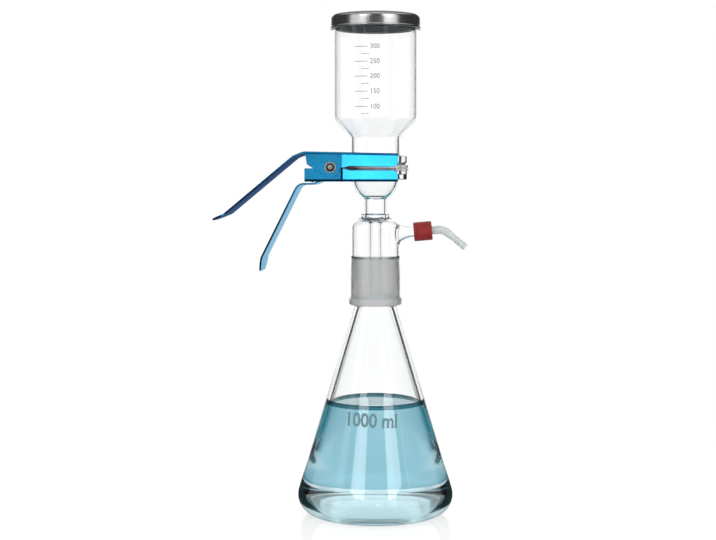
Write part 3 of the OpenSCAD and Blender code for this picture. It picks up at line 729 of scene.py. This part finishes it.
def grained(name, constants, cloud, colors, haze, grain=None, bump=None):
    """Material whose colour follows a cloud noise, and its roughness and relief a finer grain.

    Without a grain, the cloud takes its place. haze is the roughness or its two ends, and bump the
    relief's strength and distance, with a bevel's radius where the edges are rounded too.
    """
    material, tree, shader = new_material(name, constants)
    clouds = tree.noise(*cloud)
    grains = tree.noise(*grain) if grain else clouds
    rough = tree.spread(grains, *haze) if isinstance(haze, tuple) else haze
    tree.feed(shader.inputs["Base Color"], tree.two_tone(clouds, colors))
    tree.feed(shader.inputs["Roughness"], rough)
    if bump:
        tree.bump(shader, grains, *bump)
    return material


def see_through(name, color, ior, waves, bump, tint, density):
    """Smooth, clear and a little wavy material, which tints the light on its way through."""
    material, tree, shader = new_material(
        name, {"Base Color": color, "Roughness": 0.0, "IOR": ior, "Transmission Weight": 1.0})
    tree.bump(shader, tree.noise(*waves), *bump)
    volume = tree.add("VolumeAbsorption", {"Color": (*tint, 1), "Density": density})
    tree.feed(tree.nodes["Material Output"].inputs["Volume"], volume.outputs["Volume"])
    return material


def blue_liquid(name, color):
    return see_through(
        name, color, WATER_IOR, waves=(9.0, 1.0, 0.3), bump=(0.04, 0.0002),
        tint=(0.14, 0.76, 0.89), density=4.8)


def ground_glass(name, low, high):
    return grained(
        name, GROUND_GLASS, cloud=(5200.0, 4.0, 0.65), colors=(low, high), haze=(0.20, 0.36),
        bump=(0.25, 0.0001))


def blue_anodised(name, painted_edge_tint, grazing_haze):
    """Dyed aluminium under a clear coat. Both give way to a hazy mirror where it is seen at a slant.

    The edge tint paints the light and shade that fall on each jaw.
    """
    material, tree, shader = new_material(
        name, {"Metallic": 1.0, "Specular Tint": painted_edge_tint, "Coat Roughness": 0.05})
    facing = tree.add("LayerWeight", {"Blend": 0.5}).outputs["Facing"]
    grain = tree.noise(2600.0, 4.0, 0.6, (0.15, 1.0, 1.0))
    cloud = tree.noise(60.0, 3.0, 0.55)
    dye = tree.two_tone(cloud, ((0.000, 0.245, 0.50), (0.004, 0.285, 0.565)))
    haze = tree.spread(facing, tree.spread(grain, 0.09, 0.15), grazing_haze, 0.80, 0.92)
    tree.feed(shader.inputs["Coat Weight"], tree.spread(facing, 0.35, 0.0))
    tree.feed(shader.inputs["Base Color"], dye)
    tree.feed(shader.inputs["Roughness"], haze)
    tree.bump(shader, grain, 0.04, 0.00001, 0.0003)
    return material


# Distances from the pivot, in metres, between which the screw's bright crown gives way to a painted
# shade at its rim, and how far the painted shade's edge wanders
CROWN_EDGE = (0.0019, 0.0024)
CROWN_WANDER = 0.0004


def pan_head_steel_painted_rim():
    """The pan head is bright on its crown, and darker towards its rim, in painted shade."""
    material, tree, shader = new_material("pan_head_steel_painted_rim", METAL)
    place = tree.place("Object")
    away = tree.distance(
        tree.maths("SUBTRACT", place["X"], PIVOT_X * MM),
        tree.maths("SUBTRACT", place["Z"], PIVOT_Z * MM))
    cloud = tree.noise(900.0, 3.0, 0.6)
    uneven = tree.maths("ADD", away, tree.maths("MULTIPLY", cloud, CROWN_WANDER))
    # Painted shade: the colour runs from bright steel on the crown to nearly black at the rim.
    painted_rim_shade = tree.fade(uneven, *CROWN_EDGE, 1.0, 0.05)
    tone = tree.add("CombineColor", {
        i: tree.maths("MULTIPLY", painted_rim_shade, level) for i, level in enumerate((0.90, 0.89, 0.86))})
    tree.feed(shader.inputs["Base Color"], tone.outputs["Color"])
    tree.feed(shader.inputs["Roughness"], tree.spread(cloud, 0.20, 0.36))
    tree.bump(shader, cloud, 0.10, 0.00003)
    return material


GLASS = see_through(
    "borosilicate_glass", (1, 1, 1, 1), GLASS_IOR, waves=(28.0, 1.0, 0.4, (1, 1, 0.35)),
    bump=(0.12, 0.0002), tint=(0.62, 0.78, 0.76), density=1.0)
GROUND = ground_glass("ground_glass", (0.93, 0.905, 0.905), (1.0, 0.97, 0.97))
# Painted shade: the collar is the same ground glass, in a darker copy.
COLLAR_SHADED = ground_glass("frosted_collar_painted_shade", (0.66, 0.66, 0.66), (0.76, 0.76, 0.76))
LIQUID = blue_liquid("blue_liquid", (1, 1, 1, 1))
# Painted shade: a dark copy of the liquid on the faces round the edge of its surface, for the dark ring
# at the meniscus.
LIQUID_EDGE_SHADE = blue_liquid("liquid_edge_painted_shade", (0.03, 0.13, 0.14, 1))
STEEL = grained(
    "pressed_steel", METAL, cloud=(45.0, 3.0, 0.5), grain=(1500.0, 3.0, 0.6, (0.25, 0.25, 1.0)),
    colors=((0.50, 0.50, 0.51), (0.60, 0.60, 0.60)), haze=(0.19, 0.25), bump=(0.05, 0.00001))
# Painted shade: the lid's inside is the same pressed steel, darkened where it faces down into the cup.
LID_UNDERSIDE_SHADE = grained(
    "lid_underside_painted_shade", METAL, cloud=(260.0, 4.0, 0.6),
    colors=((0.16, 0.16, 0.17), (0.26, 0.26, 0.27)), haze=(0.10, 0.18), bump=(0.05, 0.00002))
SPRING_STEEL = grained(
    "spring_steel", METAL, cloud=(900.0, 3.0, 0.6),
    colors=((0.38, 0.37, 0.36), (0.60, 0.59, 0.57)), haze=(0.20, 0.36), bump=(0.10, 0.00003))
ZINC = grained(
    "zinc_steel", METAL, cloud=(700.0, 4.0, 0.6),
    colors=((0.55, 0.54, 0.52), (0.78, 0.77, 0.74)), haze=(0.14, 0.30), bump=(0.12, 0.00003, 0.00012))
PAN_HEAD = pan_head_steel_painted_rim()
# The jaws are one anodised aluminium in two copies. The upper's dark edge tint paints the shade on its
# handle, and the lower's pale cyan one paints a bright sheen on its handle.
UPPER_BLUE_SHADED = blue_anodised("blue_anodised_upper_painted_shade", (0.02, 0.14, 0.28, 1), 0.42)
LOWER_BLUE_LIT = blue_anodised("blue_anodised_lower_painted_sheen", (0.25, 0.80, 1.0, 1), 0.20)
RED = grained(
    "red_plastic", {}, cloud=(180.0, 2.0, 0.5), grain=(1400.0, 3.0, 0.6),
    colors=((0.235, 0.012, 0.012), (0.32, 0.022, 0.020)), haze=(0.32, 0.46),
    bump=(0.15, 0.00004, 0.00025))
SILICONE = grained(
    "silicone", {"Subsurface Weight": 0.3, "Subsurface Radius": (0.002, 0.002, 0.002)},
    cloud=(900.0, 3.0, 0.6), colors=((0.72, 0.71, 0.68), (0.80, 0.79, 0.77)), haze=(0.45, 0.60))
MILKY = grained(
    "natural_polypropylene", {"IOR": 1.49, "Transmission Weight": 0.4}, cloud=(220.0, 3.0, 0.5),
    colors=((0.86, 0.94, 0.93), (0.93, 0.98, 0.97)), haze=(0.24, 0.36), bump=(0.04, 0.00003))
SINTERED = grained(
    "sintered_glass", {"Transmission Weight": 0.25}, cloud=(2600.0, 5.0, 0.7),
    colors=((0.72, 0.73, 0.73), (0.92, 0.93, 0.93)), haze=0.75, bump=(0.6, 0.0002))
MEMBRANE = grained(
    "membrane", {}, cloud=(3200.0, 4.0, 0.6),
    colors=((0.82, 0.82, 0.80), (0.90, 0.90, 0.88)), haze=0.85, bump=(0.3, 0.0001))
SCALE_INK = grained(
    "scale_ink", {}, cloud=(1800.0, 3.0, 0.6),
    colors=((0.20, 0.20, 0.21), (0.30, 0.30, 0.31)), haze=0.6)
VOLUME_INK = grained(
    "volume_ink", {}, cloud=(1800.0, 3.0, 0.6),
    colors=((0.10, 0.20, 0.24), (0.16, 0.27, 0.31)), haze=0.6)


# ---------------------------------------------------------------- dressing the pieces
def finish_of(node, material):
    """A node keeps its CAD shape and gets a better material."""
    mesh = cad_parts[node].data
    for i in range(len(mesh.materials)):
        mesh.materials[i] = material
    if not mesh.materials:
        mesh.materials.append(material)


for node, material in (
    ("upper_jaw", UPPER_BLUE_SHADED),
    ("lower_jaw", LOWER_BLUE_LIT),
    ("front_washer", ZINC),
    ("rear_washer", ZINC),
    ("pivot_nut", ZINC),
    ("spring_sleeve", ZINC),
    ("pivot_screw", PAN_HEAD),
    ("screw_cap", RED),
    ("cap_seal", SILICONE),
    ("hose_connector", MILKY),
    ("frit_disc", SINTERED),
    ("membrane_filter", MEMBRANE),
):
    finish_of(node, material)


def by_face(piece, materials, choose=None):
    """Material of each face, from its centre's distance to the unit's axis and height over the bench."""
    for m in materials:
        piece.data.materials.append(m)
    for p in piece.data.polygons:
        c = p.center / MM
        p.material_index = choose(math.hypot(c.x, c.y), c.z) if choose else 0


def dress(piece, node):
    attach(piece, "unit")
    if node:
        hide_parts(node)
    return piece


SURFACE_R = liquid_side()[-1][0]
MENISCUS_W = 1.5
SOCKET_R = JOINT_D / 2 + CHAMFER + JOINT_GAP
RING_R = 20.0
# How far a face's centre may be inside the surface or edge that it belongs to
NEAR = 0.5


def flask_face(r, z):
    return int(JOINT_Z <= z <= JOINT_TOP - CHAMFER and r > joint_r(z) - NEAR)


# Faces round the edge of the liquid's surface, which take the painted shade
def liquid_face(r, z):
    return int(z > LIQUID_TOP - CREEP_H and r > SURFACE_R - DIP - MENISCUS_W)


def head_face(r, z):
    """The socket, the flange's lip and the collar are ground; the collar takes a darker copy, in painted
    shade.
    """
    socket = MOUTH_Z < z < JOINT_TOP + NEAR and joint_r(z) - NEAR < r < SOCKET_R
    ground_ring = z > GROUND_Z - LIP_H - NEAR and r > RING_R
    collar = z < MOUTH_Z + COLLAR_H and r > HEAD_D / 2
    return 2 if collar else int(socket or ground_ring)


def cup_face(r, z):
    return int(z < CUP_Z + LIP_H + NEAR and r > CUP_NECK_D / 2 - NEAR)


# The lid's inside, which takes the painted shade
def lid_face(r, z):
    return int(r < LID_SKIRT - NEAR and z < lid_high.z - NEAR)


flask = dress(make_flask(), "flask")
by_face(flask, [GLASS, GROUND], flask_face)
liquid = dress(make_liquid(), "filtrate")
by_face(liquid, [LIQUID, LIQUID_EDGE_SHADE], liquid_face)
head = dress(make_head(), "filter_head")
by_face(head, [GLASS, GROUND, COLLAR_SHADED], head_face)
cup = dress(make_cup(), "cup")
by_face(cup, [GLASS, GROUND], cup_face)
lid = dress(make_lid(), "lid")
by_face(lid, [STEEL, LID_UNDERSIDE_SHADE], lid_face)
scale = dress(make_scale(), None)
by_face(scale, [SCALE_INK])
volume_mark = dress(make_volume_mark(), None)
by_face(volume_mark, [VOLUME_INK])


def flexing_spring():
    """The clamp's spring as the CAD has it, in a copy that takes spring steel."""
    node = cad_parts["clamp_spring"]
    spring = link_object("torsion_spring", node.data.copy())
    spring.matrix_world = node.matrix_world
    spring.data.materials.clear()
    spring.data.materials.append(SPRING_STEEL)
    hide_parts("clamp_spring")
    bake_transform(spring)


flexing_spring()

# Clear glass would throw a black shadow, as its light comes through by caustics only.
for piece in (flask, liquid, head, cup):
    piece.visible_shadow = False

# ---------------------------------------------------------------- camera
# The photograph's view: from 2 degrees to the right of the unit's front, a little downwards
VIEW_TURN = math.radians(2.0)
VIEW_DROP = math.radians(2.17)
EYE_X = -15.1
EYE_Z = 288
EYE_AWAY = 1275


def place_camera():
    data = bpy.data.cameras.new("camera")
    data.sensor_width = 36.0
    data.lens = 74.0
    data.shift_y = -0.045
    data.clip_end = 60.0
    camera = bpy.data.objects.new("camera", data)
    eye = (EYE_X + EYE_AWAY * math.sin(VIEW_TURN), -EYE_AWAY * math.cos(VIEW_TURN), EYE_Z)
    camera.location = Vector(eye) * MM
    camera.rotation_euler = (math.pi / 2 - VIEW_DROP, 0, VIEW_TURN)
    bpy.context.scene.collection.objects.link(camera)
    bpy.context.scene.camera = camera


place_camera()

# ---------------------------------------------------------------- studio
# Direction straight behind the unit, as its turn from +Y towards +X
BEHIND = -VIEW_TURN
# Walls of the studio as glass shows them. A little over white makes up for what the glass swallows.
PALE = 1.08
GREY = 0.80
DARK = 0.03
# Degrees between which they change, for light that has passed through and that the glass has mirrored,
# and between which the wall straight behind ends that metal mirrors
PASSED_EDGE = (15.0, 22.0)
MIRRORED_EDGE = (31.0, 37.0)
METAL_EDGE = (math.radians(20), math.radians(28))
# What the world sends out as light, and the table to the pieces on it
WORLD_LIGHT = 0.76
TABLE_LIGHT = 0.3
# Wall straight behind the unit and the rest of the room, as metal mirrors them
WORLD_WALLS = (0.95, 0.045)
TABLE_WALLS = (0.92, 0.05)
CEILING = 0.75
CEILING_EDGE = (0.45, 0.75)
# Near the unit, the camera sees this share of a glow over the table's own shading and shadows, and the
# two together are white. Further away, all is glow, at 1.
TABLE_SHARE = 0.55
TABLE_GLOW = 1.28
# Distances from the unit's axis, in metres, over which the table changes
SHADOW_END = (0.20, 0.55)
WALLS_START = (0.20, 0.50)
FOOT_EDGE = (0.07, 0.11)
TINT_END = (0.60, 0.90)
# The table's glow as seen through the liquid, a painted shade that darkens from each quarter turn (0)
# to halfway to the next (1), and its painted teal shade where the glass has mirrored it
LIQUID_PAINTED_SHADES = [
    (0.00, (0.440, 0.680, 0.755)),
    (0.18, (0.375, 0.620, 0.705)),
    (0.50, (0.210, 0.440, 0.535)),
    (0.78, (0.012, 0.150, 0.190)),
]
ECHO_PAINTED_SHADE = (0.045, 0.270, 0.330, 1)
WHITE = (1, 1, 1, 1)
# Light that has crossed the liquid has gone through six surfaces, through empty glass four or eight.
LIQUID_SURFACES = 6.0


class Studio(Tree):
    """The studio round the unit as glass and metal show it, in the world's or the table's nodes.

    To glass it repeats all round, so that the unit looks alike from any side. Light that only passes
    through sees pale walls. Light that the glass has mirrored sees dark gaps between them, which draw
    the thin lines along the walls of the glass.
    """

    def __init__(self, tree, coordinates):
        super().__init__(tree)
        self.x, self.y, self.z = self.place(coordinates)
        self.turn = self.maths("SUBTRACT", self.maths("ARCTAN2", self.x, self.y), BEHIND)
        self.rays = self.add("LightPath").outputs
        self.mirrored = self.maths("GREATER_THAN", self.rays["Glossy Depth"], 0.5)
        self.passed = self.fade(self.off(45), *PASSED_EDGE, PALE, GREY)
        self.echoed = self.fade(self.off(90), *MIRRORED_EDGE, PALE, DARK)

    def off(self, period):
        """Degrees from the nearest whole number of periods, counted from straight behind."""
        steps = self.maths("DIVIDE", self.turn, math.radians(period))
        part = self.maths("ABSOLUTE", self.maths("SUBTRACT", steps, self.maths("ROUND", steps)))
        return self.maths("MULTIPLY", part, float(period))

    def walls(self, bright, dark):
        """A bright wall straight behind the unit in a dark room."""
        return self.fade(self.maths("ABSOLUTE", self.turn), *METAL_EDGE, bright, dark)

    def by_ray(self, light, metal, glass, camera):
        """Value for each kind of ray: light on the pieces, seen in metal, through glass, or directly."""
        value = self.pick(self.rays["Is Glossy Ray"], light, metal)
        value = self.pick(self.rays["Is Transmission Ray"], value, glass)
        return self.pick(self.rays["Is Camera Ray"], value, camera)


def build_world():
    world = bpy.data.worlds.new("studio")
    bpy.context.scene.world = world
    world.use_nodes = True
    tree = Studio(world.node_tree, "Generated")
    ceiling = tree.fade(tree.z, *CEILING_EDGE, 0.0, CEILING)
    metal = tree.maths("MAXIMUM", tree.walls(*WORLD_WALLS), ceiling)
    glass = tree.pick(tree.mirrored, tree.passed, tree.echoed)
    background = tree.nodes["Background"]
    background.inputs["Color"].default_value = WHITE
    tree.feed(background.inputs["Strength"], tree.by_ray(WORLD_LIGHT, metal, glass, 1.0))


def table_material():
    """White table whose glow gives the background, and what glass and metal show of it."""
    material = bpy.data.materials.new("white_table")
    material.use_nodes = True
    tree = Studio(material.node_tree, "Object")
    rays = tree.rays
    away = tree.distance(tree.x, tree.y)

    passed = tree.pick(tree.fade(away, *WALLS_START, 0.0, 1.0), 1.0, tree.passed)
    glass = tree.pick(tree.mirrored, passed, tree.echoed)
    glow = tree.fade(away, *SHADOW_END, TABLE_GLOW, 1.0)
    strength = tree.by_ray(TABLE_LIGHT, tree.walls(*TABLE_WALLS), glass, glow)

    # Painted shade of the liquid and its heel: near the unit, the table glows teal for light that has
    # crossed the liquid or that the glass has mirrored.
    near = tree.fade(away, *TINT_END, 1.0, 0.0)
    ring = tree.maths("MULTIPLY", tree.fade(away, *FOOT_EDGE, 0.0, 1.0), near)
    crossed = tree.maths("COMPARE", rays["Transmission Depth"], LIQUID_SURFACES)
    tinted = tree.maths("MULTIPLY", ring, crossed)
    shades = tree.ramp(tree.maths("DIVIDE", tree.off(90), 45.0), LIQUID_PAINTED_SHADES)
    echo = tree.maths("MULTIPLY", near, tree.mirrored)
    seen = tree.blend(echo, tree.blend(tinted, WHITE, shades), ECHO_PAINTED_SHADE)
    colored = tree.maths("MULTIPLY", tree.maths("MAXIMUM", tinted, echo), rays["Is Transmission Ray"])

    light = tree.add("Emission", {
        "Strength": tree.pick(colored, strength, 1.0),
        "Color": tree.blend(rays["Is Transmission Ray"], WHITE, seen)})
    shader = tree.nodes["Principled BSDF"]
    shader.inputs["Base Color"].default_value = (0.86, 0.86, 0.86, 1)
    shader.inputs["Roughness"].default_value = 0.11
    shader.inputs["IOR"].default_value = 1.75
    share = tree.by_ray(0.0, 1.0, 1.0, tree.fade(away, *SHADOW_END, TABLE_SHARE, 1.0))
    mix = tree.add("MixShader", {"Fac": share, 1: shader.outputs["BSDF"], 2: light.outputs["Emission"]})
    tree.feed(tree.nodes["Material Output"].inputs["Surface"], mix.outputs["Shader"])
    return material


def build_floor():
    size = 20.0
    corners = [(-size, -size, 0), (size, -size, 0), (size, size, 0), (-size, size, 0)]
    mesh = bpy.data.meshes.new("floor")
    mesh.from_pydata(corners, [], [(0, 1, 2, 3)])
    mesh.materials.append(table_material())
    floor = link_object("floor", mesh)


def softbox(name, turn, away, height, wide, tall, radiance, aim):
    """Rectangular lamp, so many degrees round from the camera's side, aimed at a height on the axis.

    It lights the pieces and shows in reflections, but isn't seen directly or through glass.
    """
    light = bpy.data.lights.new(name, "AREA")
    light.shape = "RECTANGLE"
    light.size, light.size_y = wide, tall
    light.energy = radiance * math.pi * wide * tall
    holder = bpy.data.objects.new(name, light)
    a = VIEW_TURN + math.radians(turn)
    holder.location = (away * math.sin(a), -away * math.cos(a), height)
    toward = Vector((0, 0, aim)) - holder.location
    holder.rotation_euler = toward.to_track_quat("-Z", "Y").to_euler()
    holder.visible_camera = False
    holder.visible_transmission = False
    bpy.context.scene.collection.objects.link(holder)


build_world()
build_floor()
for lamp in (
    # name, turn, distance, height, width, length, radiance, aim
    ("softbox_left", -46.0, 1.2, 0.42, 0.85, 1.2, 1.0, 0.28),
    ("softbox_right", 38.0, 1.2, 0.42, 0.72, 1.2, 1.0, 0.28),
    ("softbox_back_left", -161.0, 1.8, 0.60, 0.8, 1.0, 1.0, 0.28),
    ("softbox_back_right", 161.0, 1.8, 0.60, 0.8, 1.0, 1.0, 0.28),
    # The bright bands down the flask
    ("window_left", -28.5, 2.4, 1.05, 0.95, 0.30, 5.5, 0.06),
    ("window_right", 30.5, 2.4, 1.05, 1.02, 0.30, 5.5, 0.06),
    # The glints on the jaws of the clamp
    ("card_left", -7.4, 1.2, 0.305, 0.10, 0.11, 1.15, 0.30),
    ("card_right", 4.4, 1.2, 0.305, 0.15, 0.11, 3.8, 0.30),
):
    softbox(*lamp)

scene = bpy.context.scene
scene.view_settings.view_transform = "Standard"
# Enough bounces for light to cross every wall of glass that stands in line
scene.cycles.max_bounces = 24
scene.cycles.transmission_bounces = 24
scene.cycles.transparent_max_bounces = 16
scene.cycles.caustics_refractive = False
scene.cycles.caustics_reflective = False
